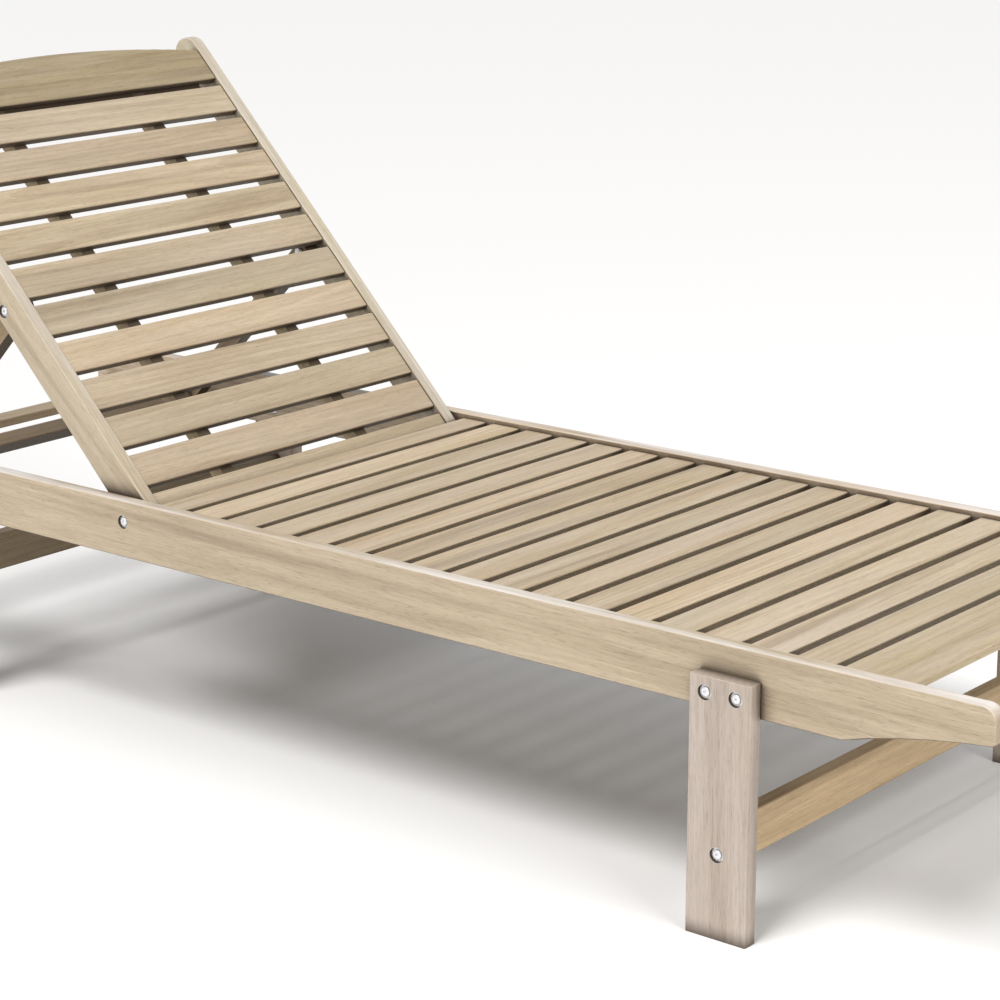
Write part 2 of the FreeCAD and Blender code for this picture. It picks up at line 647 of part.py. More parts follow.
def back_batten(side):
    centre = BATTEN_SPACING / 2 * side
    across = (centre - BATTEN_WIDTH / 2, centre + BATTEN_WIDTH / 2)
    shape = block((HEAD_RAIL_SPAN[0], HINGE_X - LOWEST_SLAT_START), across, BEHIND_SLATS)
    halving = block((HEAD_RAIL_SPAN[0] - HOLE_GAP, HEAD_RAIL_SPAN[1] + HOLE_GAP), across,
                    (BEHIND_SLATS[0], HALVING_Z))
    return reclined(cut_all(shape, screw_holes(batten_screws(side)) + [halving]))


def back_head_rail():
    shape = block(HEAD_RAIL_SPAN, (-HEAD_RAIL_HALF, HEAD_RAIL_HALF), BEHIND_SLATS)
    half = BATTEN_WIDTH / 2 + HOLE_GAP
    halvings = []
    for _, side in SIDES:
        centre = BATTEN_SPACING / 2 * side
        halvings.append(block(HEAD_RAIL_SPAN, (centre - half, centre + half), (HALVING_Z, BEHIND_SLATS[1])))
    return reclined(cut_all(shape, screw_holes(head_rail_screws()) + halvings))


# Prop pieces, drawn along -X from the pivot and then hung
CROSSBAR_SPAN = (-ARM_LENGTH - TIP_RADIUS, -ARM_LENGTH - TIP_RADIUS + CROSSBAR_WIDTH)


def crossbar_tenon(side, grow):
    span = (CROSSBAR_SPAN[0] + TENON_SHOULDER - grow, CROSSBAR_SPAN[1] - TENON_SHOULDER + grow)
    half = TENON_THICKNESS / 2 + grow
    return block(span, side_span(ARM_INNER, ARM_INNER + TENON_LENGTH + grow, side), (-half, half))


def prop_arm(side):
    """A flat arm with round ends: one about the pivot, one that rests in a notch."""
    outline = [
        line(V(0, 0, -TIP_RADIUS), V(-ARM_LENGTH, 0, -TIP_RADIUS)),
        arc(V(-ARM_LENGTH, 0, -TIP_RADIUS), V(-ARM_LENGTH - TIP_RADIUS, 0, 0), V(-ARM_LENGTH, 0, TIP_RADIUS)),
        line(V(-ARM_LENGTH, 0, TIP_RADIUS), V(0, 0, TIP_RADIUS)),
        arc(V(0, 0, TIP_RADIUS), V(TIP_RADIUS, 0, 0), V(0, 0, -TIP_RADIUS)),
    ]
    shape = plate(outline, side_span(ARM_INNER, ARM_OUTER, side))
    pivot_hole = rod(V(0, 0, 0), V(0, side, 0), BOLT_RADIUS + RUNNING_GAP, LEG_OUTER)
    return hung(cut_all(shape, [pivot_hole, crossbar_tenon(side, HOLE_GAP)]))


def prop_crossbar():
    shape = block(CROSSBAR_SPAN, (-ARM_INNER, ARM_INNER), (-BOARD / 2, BOARD / 2))
    shape = eased(shape, V(0, 1, 0))
    return hung(shape.fuse([crossbar_tenon(side, 0.0) for _, side in SIDES]))


# Fastener groups
def leg_faces():
    """(outer-face point, outward) of the bolts that hold the legs to the rails."""
    return [(point, V(0, side, 0)) for _, leg_x, _ in LEGS for _, side in SIDES
            for point in leg_bolt_points(leg_x, side)]


def stretcher_faces():
    return [(V(leg_x, LEG_OUTER * side, stretcher_bolt_z(drop)), V(0, side, 0))
            for _, leg_x, drop in LEGS for _, side in SIDES]


def hinge_faces():
    return [(V(HINGE_X, RAIL_OUTER * side, HINGE_Z), V(0, side, 0)) for _, side in SIDES]


def prop_faces():
    return [(back_point(PIVOT_S, PIVOT_H, STILE_OUTER * side), V(0, side, 0)) for _, side in SIDES]


def sunk_bolts(faces, length):
    return [placed(bolt(length), seat_point(point, outward), outward) for point, outward in faces]


def sunk_washers(faces):
    return [placed(washer(), washer_point(point, outward), outward) for point, outward in faces]


def hinge_washers():
    """The stacks of washers that space the backrest's stiles from the rails."""
    count = int((STILE_SIDE_GAP - MOVING_GAP + 0.001) // WASHER_THICKNESS)
    pieces = []
    for _, side in SIDES:
        for index in range(count):
            start = V(HINGE_X, (RAIL_INNER - WASHER_THICKNESS * index) * side, HINGE_Z)
            pieces.append(placed(washer(), start, V(0, -side, 0)))
    return pieces


def frame_nuts():
    pieces = []
    for point, outward in leg_faces():
        pieces.append(placed(nut(), V(point.x, RAIL_INNER * outward.y, point.z), outward))
    for _, side in SIDES:
        pieces.append(placed(nut(), V(HINGE_X, HINGE_NUT_FACE * side, HINGE_Z), V(0, -side, 0)))
    return pieces


def barrel_nuts():
    pieces = []
    for _, leg_x, drop in LEGS:
        for _, side in SIDES:
            start = V(leg_x - BOARD / 2, BARREL_Y * side, stretcher_bolt_z(drop))
            body = rod(start, V(1, 0, 0), BARREL_RADIUS, BARREL_LENGTH)
            bore = rod(V(leg_x, 0, start.z), V(0, side, 0), BOLT_RADIUS + RUNNING_GAP, LEG_OUTER)
            pieces.append(body.cut(bore))
    return pieces


def back_fasteners(pieces):
    return reclined(Part.Compound(pieces))


def parts():
    """Every piece by name."""
    made = {}
    for name, side in SIDES:
        made["rail_" + name] = rail(side)
        made["ledger_" + name] = ledger(side)
        made["rack_" + name] = rack(side)
        for place, leg_x, drop in LEGS:
            made["leg_" + place + "_" + name] = leg(leg_x, drop, side)
        made["stile_" + name] = stile(side)
        made["back_batten_" + name] = back_batten(side)
        made["prop_arm_" + name] = prop_arm(side)
    for place, leg_x, drop in LEGS:
        made["stretcher_" + place] = stretcher(leg_x, drop)
    made["head_cross_rail"] = head_cross_rail()
    for index, span in enumerate(seat_spans(), 1):
        made["seat_slat_{:02d}".format(index)] = seat_slat(span)
    made["foot_board"] = foot_board()
    made["back_slat_lowest"] = back_slat(LOWEST_SPAN)
    for index, span in enumerate(back_spans(), 1):
        made["back_slat_{:02d}".format(index)] = back_slat(span)
    made["top_board"] = top_board()
    made["back_head_rail"] = back_head_rail()
    made["prop_crossbar"] = prop_crossbar()
    made["short_bolts"] = Part.Compound(sunk_bolts(leg_faces(), SHORT_BOLT))
    made["long_bolts"] = Part.Compound(sunk_bolts(stretcher_faces() + hinge_faces(), LONG_BOLT))
    made["frame_washers"] = Part.Compound(
        sunk_washers(leg_faces() + stretcher_faces() + hinge_faces()) + hinge_washers())
    made["frame_nuts"] = Part.Compound(frame_nuts())
    made["barrel_nuts"] = Part.Compound(barrel_nuts())
    made["frame_screws"] = Part.Compound(
        [placed(screw(), point, direction) for point, direction in frame_screw_places()])
    made["prop_bolts"] = back_fasteners(sunk_bolts(prop_faces(), PROP_BOLT) + sunk_washers(prop_faces()))
    made["prop_nuts"] = back_fasteners([placed(nut(), back_point(PIVOT_S, PIVOT_H, PROP_NUT_FACE * side),
                                               V(0, -side, 0)) for _, side in SIDES])
    back_places = batten_screws(1) + batten_screws(-1) + head_rail_screws()
    made["back_screws"] = back_fasteners(
        [placed(screw(), point, direction) for point, direction in back_places])
    return made


def main():
    os.makedirs("parts", exist_ok=True)
    for name, shape in parts().items():
        if not shape.isValid():
            raise ValueError(name + " is not a valid shape")
        shape.exportStep("parts/" + name + ".step")
        print(name, len(shape.Solids), round(shape.Volume))
    print("hinge", HINGE_X, HINGE_Z, "pivot", prop_pivot())


main()
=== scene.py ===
import json
import math
import random

import bmesh
import bpy
from mathutils import Euler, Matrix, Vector


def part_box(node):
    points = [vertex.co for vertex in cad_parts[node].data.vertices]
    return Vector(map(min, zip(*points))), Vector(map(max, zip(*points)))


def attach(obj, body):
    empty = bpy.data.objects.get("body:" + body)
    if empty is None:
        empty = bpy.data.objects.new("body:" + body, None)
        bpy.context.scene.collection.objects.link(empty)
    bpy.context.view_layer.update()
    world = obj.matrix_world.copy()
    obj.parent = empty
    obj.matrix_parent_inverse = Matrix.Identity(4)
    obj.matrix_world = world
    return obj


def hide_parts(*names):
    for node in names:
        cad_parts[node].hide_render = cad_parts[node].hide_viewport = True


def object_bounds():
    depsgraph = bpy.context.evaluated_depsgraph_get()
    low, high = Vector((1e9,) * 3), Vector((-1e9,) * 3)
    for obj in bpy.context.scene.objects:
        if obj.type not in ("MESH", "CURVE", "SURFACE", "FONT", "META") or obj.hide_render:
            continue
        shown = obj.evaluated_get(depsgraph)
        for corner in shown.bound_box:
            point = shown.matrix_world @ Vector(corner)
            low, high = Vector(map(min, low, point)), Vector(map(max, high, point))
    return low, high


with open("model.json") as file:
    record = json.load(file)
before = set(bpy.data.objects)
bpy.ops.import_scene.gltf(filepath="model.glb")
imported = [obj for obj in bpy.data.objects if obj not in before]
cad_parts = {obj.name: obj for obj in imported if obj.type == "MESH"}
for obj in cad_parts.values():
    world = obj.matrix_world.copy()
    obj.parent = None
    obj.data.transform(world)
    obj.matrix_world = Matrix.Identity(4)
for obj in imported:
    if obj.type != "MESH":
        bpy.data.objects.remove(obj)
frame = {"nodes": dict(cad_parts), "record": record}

bl_info = {
    "name": "Slatted Sun Lounger",
    "version": (1, 0, 0),
    "blender": (4, 5, 0),
    "location": "View3D > Sidebar > Lounger",
    "description": "Finishes a reclining hardwood sun lounger: boards, bolts and a soft studio",
    "category": "Add Mesh",
}

CAD_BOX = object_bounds()
NODES = frame["nodes"]
SIDES = ("left", "right")
MM = 0.001

# Marks on the wood and the metal, and the painted shade and highlight colours
PORE_COLOUR = (0.16, 0.105, 0.06, 1)
STAIN_COLOUR = (0.235, 0.165, 0.100, 1)
END_GRAIN_COLOUR = (0.30, 0.205, 0.125, 1)
# Painted shade colour, mixed into gaps, inside corners and faces turned down
PAINTED_SHADE_COLOUR = (0.050, 0.032, 0.020, 1)
# Pale dust, and on the rails and stiles a painted highlight
DUST_AND_SHEEN_COLOUR = (0.80, 0.765, 0.745, 1)
RUBBED_ZINC_COLOUR = (0.95, 0.95, 0.95, 1)

# Tones that a board's colours are multiplied by; the dark tones of the ledgers, racks, cross rail, rear
# stretcher, head rail, prop arms and crossbar are painted shade
PLAIN_TONE = (1.0, 1.0, 1.0)
RAIL_TONE = (1.08, 1.07, 1.12)
LEDGER_SHADE_TONE = (0.60, 0.54, 0.48)
RACK_SHADE_TONE = (0.52, 0.47, 0.42)
CROSS_RAIL_SHADE_TONE = (0.74, 0.69, 0.64)
LEG_TONE = (0.88, 0.92, 1.14)
FRONT_STRETCHER_TONE = (1.10, 0.99, 0.85)
REAR_STRETCHER_SHADE_TONE = (0.46, 0.43, 0.38)
FOOT_BOARD_TONE = (0.90, 0.88, 0.84)
STILE_TONE = (1.08, 1.15, 1.24)
BATTEN_TONE = (0.95, 0.90, 0.82)
TOP_BOARD_TONE = (0.68, 0.66, 0.58)
HEAD_RAIL_SHADE_TONE = (0.30, 0.26, 0.22)
PROP_ARM_SHADE_TONE = (0.62, 0.56, 0.50)
CROSSBAR_SHADE_TONE = (0.55, 0.49, 0.43)

# The studio
FLOOR_REACH = 80.0
SKY_LIGHT = 0.38
SKY_SEEN = 0.95
WHITE = (1.0, 1.0, 1.0, 1)
KEY_TOWARD = Vector((-0.02, -0.55, 0.83))
KEY_STRENGTH = 2.3
KEY_SPREAD = math.radians(24)
KEY_COLOUR = (1.0, 0.985, 0.97)
FILL_FROM_MIDDLE = Vector((4.2, -1.0, 3.4))
FILL_SIZE = (2.4, 2.4)
FILL_POWER = 110
FILL_COLOUR = (1.0, 0.98, 0.95)
SENSOR_WIDTH = 36


def joint_limits(name):
    for joint in frame["record"]["behaviour"]["joints"]:
        if joint["name"] == name:
            return joint["range_deg"]
    raise ValueError("the frame has no joint named " + name)


# The lower limit lays the backrest flat, so it gives the stored tilt
TILT = -math.radians(joint_limits("backrest_recline")[0])


# Sizes and colours
class WoodSettings(bpy.types.PropertyGroup):
    """The hardwood of every board."""

    pale: bpy.props.FloatVectorProperty(
        name="Pale wood", description="Colour between the growth rings", subtype="COLOR", size=4,
        min=0, max=1, default=(0.600, 0.490, 0.335, 1))
    ring: bpy.props.FloatVectorProperty(
        name="Ring wood", description="Colour of the growth rings and streaks", subtype="COLOR", size=4,
        min=0, max=1, default=(0.400, 0.305, 0.190, 1))
    blush: bpy.props.FloatVectorProperty(
        name="Blush", description="Pinkish patches in some boards", subtype="COLOR", size=4,
        min=0, max=1, default=(0.545, 0.430, 0.315, 1))
    olive: bpy.props.FloatVectorProperty(
        name="Olive", description="Greenish brown patches in some boards", subtype="COLOR", size=4,
        min=0, max=1, default=(0.480, 0.405, 0.265, 1))
    # Edge colour: partly wear, partly a painted highlight along the edges
    worn_and_highlit: bpy.props.FloatVectorProperty(
        name="Worn edge", description="Colour of the rubbed edges", subtype="COLOR", size=4,
        min=0, max=1, default=(0.860, 0.800, 0.700, 1))
    variation: bpy.props.FloatProperty(
        name="Board variation", description="How much the boards differ in tone", default=0.09, min=0, max=1,
        subtype="FACTOR")
    edge_width: bpy.props.FloatProperty(
        name="Edge width", description="How far wear reaches in from an edge", default=1.6 * MM, min=0,
        subtype="DISTANCE", unit="LENGTH")
    # Painted shade: the reach of the ambient occlusion that darkens the gaps
    painted_shade_reach: bpy.props.FloatProperty(
        name="Grime reach", description="Width of the gaps that grime gathers in", default=30 * MM, min=0,
        subtype="DISTANCE", unit="LENGTH")
    relief: bpy.props.FloatProperty(
        name="Grain relief", description="Depth of the grain", default=0.35 * MM, min=0,
        subtype="DISTANCE", unit="LENGTH")


class MetalSettings(bpy.types.PropertyGroup):
    """The plated steel of the bolts, nuts and screws."""

    colour: bpy.props.FloatVectorProperty(
        name="Plating", description="Colour of the zinc plating", subtype="COLOR", size=4, min=0, max=1,
        default=(0.93, 0.93, 0.94, 1))
    dull: bpy.props.FloatVectorProperty(
        name="Dulled plating", description="Colour of dulled patches", subtype="COLOR", size=4, min=0, max=1,
        default=(0.74, 0.74, 0.76, 1))


class BoltSettings(bpy.types.PropertyGroup):
    """The button-headed bolts and their washers."""

    head_radius: bpy.props.FloatProperty(
        name="Head radius", description="Radius of a bolt head", default=5.5 * MM, min=0,
        subtype="DISTANCE", unit="LENGTH")
    head_height: bpy.props.FloatProperty(
        name="Head height", description="Height of a bolt head", default=3.4 * MM, min=0,
        subtype="DISTANCE", unit="LENGTH")
    socket_flats: bpy.props.FloatProperty(
        name="Socket width", description="Width across the socket's flats", default=4.0 * MM, min=0,
        subtype="DISTANCE", unit="LENGTH")
    shank_radius: bpy.props.FloatProperty(
        name="Shank radius", description="Radius of a bolt's shank", default=3.0 * MM, min=0,
        subtype="DISTANCE", unit="LENGTH")
    washer_radius: bpy.props.FloatProperty(
        name="Washer radius", description="Outer radius of a washer", default=8.3 * MM, min=0,
        subtype="DISTANCE", unit="LENGTH")
    washer_thickness: bpy.props.FloatProperty(
        name="Washer thickness", description="Thickness of a washer", default=1.4 * MM, min=0,
        subtype="DISTANCE", unit="LENGTH")


class StageSettings(bpy.types.PropertyGroup):
    """The camera, the floor and the lights."""

    azimuth: bpy.props.FloatProperty(
        name="Azimuth", description="Turn of the camera round the lounger", default=math.radians(39),
        subtype="ANGLE", unit="ROTATION")
    elevation: bpy.props.FloatProperty(
        name="Elevation", description="Height angle of the camera", default=math.radians(15.27),
        subtype="ANGLE", unit="ROTATION")
    distance: bpy.props.FloatProperty(
        name="Distance", description="From the camera to the point it aims at", default=3.2, min=0.1,
        subtype="DISTANCE", unit="LENGTH")
    aim: bpy.props.FloatVectorProperty(
        name="Aim", description="The point in the middle of the view", default=(0.3384, -0.3108, 0.4333),
        subtype="XYZ", unit="LENGTH")
    lens: bpy.props.FloatProperty(
        name="Lens", description="Focal length on a 36 mm sensor, in millimetres", default=101.38, min=1)
    floor: bpy.props.FloatVectorProperty(
        name="Floor", description="Colour of the floor", subtype="COLOR", size=4, min=0, max=1,
        default=(0.95, 0.95, 0.95, 1))


class LoungerSettings(bpy.types.PropertyGroup):
    """All settings of the lounger."""

    wood: bpy.props.PointerProperty(type=WoodSettings, name="Wood", description="The boards")
    metal: bpy.props.PointerProperty(type=MetalSettings, name="Metal", description="The fasteners")
    bolts: bpy.props.PointerProperty(type=BoltSettings, name="Bolts", description="The bolts' sizes")
    stage: bpy.props.PointerProperty(type=StageSettings, name="Stage", description="The studio")


# Node helpers
def put(tree, socket, value):
    """Gives an input a value, or links it when the value is another node's output."""
    if isinstance(value, bpy.types.NodeSocket):
        tree.links.new(value, socket)
    else:
        socket.default_value = value


def new_node(tree, kind, inputs=None, **settings):
    node = tree.nodes.new(kind)
    for name, value in settings.items():
        setattr(node, name, value)
    for key, value in (inputs or {}).items():
        put(tree, node.inputs[key], value)
    return node


def number(tree, operation, *values, clamp=False):
    node = new_node(tree, "ShaderNodeMath", operation=operation, use_clamp=clamp)
    for socket, value in zip(node.inputs, values):
        put(tree, socket, value)
    return node.outputs[0]


def stretched(tree, vector, scale):
    node = new_node(tree, "ShaderNodeVectorMath", operation="MULTIPLY")
    put(tree, node.inputs[0], vector)
    put(tree, node.inputs[1], scale)
    return node.outputs[0]


def mixed(tree, factor, first, second, blend="MIX"):
    node = new_node(tree, "ShaderNodeMix", data_type="RGBA", blend_type=blend)
    put(tree, node.inputs[0], factor)
    put(tree, node.inputs[6], first)
    put(tree, node.inputs[7], second)
    return node.outputs[2]


def spread(tree, value, low, high, to_low=0.0, to_high=1.0):
    node = new_node(tree, "ShaderNodeMapRange", {"Value": value, "From Min": low, "From Max": high,
                                                 "To Min": to_low, "To Max": to_high})
    return node.outputs[0]


def noise(tree, vector, seed, detail=2.0, roughness=0.5, scale=1.0):
    inputs = {"Vector": vector, "W": seed, "Scale": scale, "Detail": detail, "Roughness": roughness}
    node = new_node(tree, "ShaderNodeTexNoise", inputs, noise_dimensions="4D")
    return node.outputs[0]


def effect(name, inputs, outputs, build):
    """A shader node group, built the first time it is asked for."""
    group = bpy.data.node_groups.get(name)
    if group:
        return group
    group = bpy.data.node_groups.new(name, "ShaderNodeTree")
    for label, kind, default in inputs:
        socket = group.interface.new_socket(label, in_out="INPUT", socket_type="NodeSocket" + kind)
        if default is not None:
            socket.default_value = default
    for label, kind in outputs:
        group.interface.new_socket(label, in_out="OUTPUT", socket_type="NodeSocket" + kind)
    results = build(group, group.nodes.new("NodeGroupInput").outputs)
    out = group.nodes.new("NodeGroupOutput")
    for label, value in results.items():
        group.links.new(value, out.inputs[label])
    return group


# Shared effects
def build_grain(tree, given):
    """Growth rings, streaks, fibres and pores of a board whose grain runs along X."""
    vector = given["Vector"]
    seed = given["Seed"]
    drift = noise(tree, stretched(tree, vector, (1.3, 6.0, 6.0)), seed, detail=1.5)
    shifted = new_node(tree, "ShaderNodeVectorMath", operation="ADD")
    put(tree, shifted.inputs[0], stretched(tree, vector, (0.06, 1.0, 1.0)))
    bend = new_node(tree, "ShaderNodeCombineXYZ", {"Y": number(tree, "MULTIPLY", drift, 0.030),
                                                   "Z": number(tree, "MULTIPLY", drift, 0.015)})
    put(tree, shifted.inputs[1], bend.outputs[0])
    ring_inputs = {"Vector": shifted.outputs[0], "Scale": 40.0, "Distortion": 0.5, "Detail": 2.0,
                   "Detail Scale": 2.0}
    rings = new_node(tree, "ShaderNodeTexWave", ring_inputs, wave_type="RINGS", rings_direction="X",
                     wave_profile="SAW")
    ring = number(tree, "POWER", rings.outputs["Fac"], 1.8)
    streak = noise(tree, stretched(tree, vector, (4.5, 120.0, 120.0)), seed, detail=4.0, roughness=0.62)
    fibre = noise(tree, stretched(tree, vector, (22.0, 900.0, 900.0)), seed, detail=2.0, roughness=0.6)
    pore_noise = noise(tree, stretched(tree, vector, (75.0, 1500.0, 1500.0)), seed, detail=1.0)
    pore = spread(tree, pore_noise, 0.60, 0.70)
    cloud = noise(tree, stretched(tree, vector, (2.0, 14.0, 14.0)), seed, detail=3.0)
    ring_share = number(tree, "MULTIPLY", ring, given["Figure"])
    streak_share = spread(tree, streak, 0.36, 0.70, 0.0, 0.62)
    dark = number(tree, "ADD", ring_share, streak_share, clamp=True)
    colour = mixed(tree, dark, given["Pale"], given["Ring"])
    colour = mixed(tree, spread(tree, cloud, 0.40, 0.66, 0.0, 0.55), colour, given["Patch"])
    stain_seed = number(tree, "ADD", seed, 9.0)
    stain = noise(tree, stretched(tree, vector, (1.6, 48.0, 48.0)), stain_seed, detail=3.0)
    colour = mixed(tree, spread(tree, stain, 0.52, 0.74, 0.0, 0.55), colour, STAIN_COLOUR)
    fibre_shade = spread(tree, fibre, 0.25, 0.75, 0.84, 1.12)
    shade_inputs = {"Red": fibre_shade, "Green": fibre_shade, "Blue": fibre_shade}
    shade = new_node(tree, "ShaderNodeCombineColor", shade_inputs)
    colour = mixed(tree, 1.0, colour, shade.outputs[0], "MULTIPLY")
    colour = mixed(tree, number(tree, "MULTIPLY", pore, 0.38), colour, PORE_COLOUR)
    split = new_node(tree, "ShaderNodeSeparateXYZ", {"Vector": given["Normal"]})
    end = spread(tree, number(tree, "ABSOLUTE", split.outputs[0]), 0.80, 0.95)
    end_rings = spread(tree, rings.outputs["Fac"], 0.1, 0.9, 0.35, 0.80)
    end_colour = mixed(tree, end_rings, given["Ring"], given["Pale"])
    end_colour = mixed(tree, 0.35, end_colour, END_GRAIN_COLOUR)
    colour = mixed(tree, number(tree, "MULTIPLY", end, 0.85), colour, end_colour)
    colour = mixed(tree, 1.0, colour, given["Tone"], "MULTIPLY")
    height = number(tree, "ADD", number(tree, "MULTIPLY", fibre, 0.5),
                    number(tree, "MULTIPLY", streak, 0.5))
    height = number(tree, "SUBTRACT", height, number(tree, "MULTIPLY", pore, 0.45))
    rough = number(tree, "ADD", spread(tree, fibre, 0.2, 0.8, 0.44, 0.60),
                   number(tree, "MULTIPLY", pore, 0.15))
    return {"Color": colour, "Height": height, "Roughness": rough}


def grain_effect():
    inputs = [("Vector", "Vector", None), ("Normal", "Vector", None), ("Pale", "Color", None),
              ("Ring", "Color", None), ("Patch", "Color", None), ("Tone", "Color", None),
              ("Figure", "Float", 0.4), ("Seed", "Float", 0.0)]
    outputs = [("Color", "Color"), ("Height", "Float"), ("Roughness", "Float")]
    return effect("Wood Grain", inputs, outputs, build_grain)


def build_edge_wear_and_highlight(tree, given):
    """Lightens where the surface turns at an edge, broken up so that it isn't even: partly wear and partly a
    painted highlight on the edges.
    """
    rounded = new_node(tree, "ShaderNodeBevel", {"Radius": given["Width"]}, samples=6)
    geometry = tree.nodes.new("ShaderNodeNewGeometry")
    alike = new_node(tree, "ShaderNodeVectorMath", operation="DOT_PRODUCT")
    put(tree, alike.inputs[0], rounded.outputs[0])
    put(tree, alike.inputs[1], geometry.outputs["Normal"])
    turn = number(tree, "SUBTRACT", 1.0, alike.outputs["Value"])
    patchy = noise(tree, given["Vector"], given["Seed"], detail=4.0, roughness=0.65, scale=38.0)
    mask = number(tree, "MULTIPLY", spread(tree, turn, 0.015, 0.20), spread(tree, patchy, 0.30, 0.62))
    mask = number(tree, "MULTIPLY", mask, given["Amount"])
    return {"Mask": mask, "Color": mixed(tree, mask, given["Color"], given["Worn"])}


def edge_wear_and_highlight_effect():
    inputs = [("Vector", "Vector", None), ("Color", "Color", None), ("Worn", "Color", None),
              ("Amount", "Float", 0.5), ("Width", "Float", 0.001), ("Seed", "Float", 0.0)]
    return effect("Edge Wear And Highlight", inputs, [("Color", "Color"), ("Mask", "Float")], build_edge_wear_and_highlight)


def build_dust_and_sheen(tree, given):
    """Pale dust and weathering on faces turned up; where it is strong, on the rails and stiles, it is a
    painted highlight along their tops.
    """
    split = new_node(tree, "ShaderNodeSeparateXYZ", {"Vector": given["Normal"]})
    upward = spread(tree, split.outputs[2], 0.2, 1.0)
    streaky = stretched(tree, given["Vector"], (2.5, 30.0, 30.0))
    drift = noise(tree, streaky, given["Seed"], detail=5.0, roughness=0.6)
    mask = number(tree, "MULTIPLY", number(tree, "MULTIPLY", upward, spread(tree, drift, 0.38, 0.70)),
                  given["Amount"])
    return {"Mask": mask, "Color": mixed(tree, mask, given["Color"], given["Dust"])}


def build_painted_shade(tree, given):
    """Painted shade: darkens narrow gaps and inside corners by ambient occlusion, and faces turned down at
    rest, into a near-black brown.
    """
    open_sky = new_node(tree, "ShaderNodeAmbientOcclusion", {"Distance": given["Reach"]}, samples=8)
    closed = spread(tree, open_sky.outputs["AO"], 0.85, 0.48)
    split = new_node(tree, "ShaderNodeSeparateXYZ", {"Vector": given["Normal"]})
    # Faces turned down get painted shade
    turned_down_shade = spread(tree, split.outputs[2], -0.30, -0.65, 0.0, given["Underside Shade"])
    mask = number(tree, "MULTIPLY", number(tree, "MAXIMUM", closed, turned_down_shade), given["Amount"])
    return {"Mask": mask, "Color": mixed(tree, mask, given["Color"], given["Painted Shade"])}


def painted_shade_effect():
    inputs = [("Normal", "Vector", None), ("Color", "Color", None), ("Painted Shade", "Color", PAINTED_SHADE_COLOUR),
              ("Amount", "Float", 0.93), ("Underside Shade", "Float", 0.9), ("Reach", "Float", 20 * MM)]
    return effect("Crevice Painted Shade", inputs, [("Color", "Color"), ("Mask", "Float")], build_painted_shade)


def dust_and_sheen_effect():
    inputs = [("Vector", "Vector", None), ("Normal", "Vector", None), ("Color", "Color", None),
              ("Dust", "Color", DUST_AND_SHEEN_COLOUR), ("Amount", "Float", 0.2), ("Seed", "Float", 0.0)]
    return effect("Surface Dust And Sheen", inputs, [("Color", "Color"), ("Mask", "Float")], build_dust_and_sheen)


def placed_effect(tree, group, inputs):
    node = tree.nodes.new("ShaderNodeGroup")
    node.node_tree = group
    for key, value in inputs.items():
        put(tree, node.inputs[key], value)
    return node


def new_material(name):
    material = bpy.data.materials.new(name)
    material.use_nodes = True
    tree = material.node_tree
    return material, tree, tree.nodes["Principled BSDF"]


# Wood
GRAIN_TURNS = {
    "along": Euler((0, 0, 0)),
    "across": Euler((0, 0, math.pi / 2)),
    "upright": Euler((0, math.pi / 2, 0)),
    "stile": Euler((0, -TILT, 0)),
    "back_slat": Euler((0, -TILT, math.pi / 2)),
    "arm": Euler((0, TILT, 0)),
    "crossbar": Euler((0, TILT, math.pi / 2)),
}


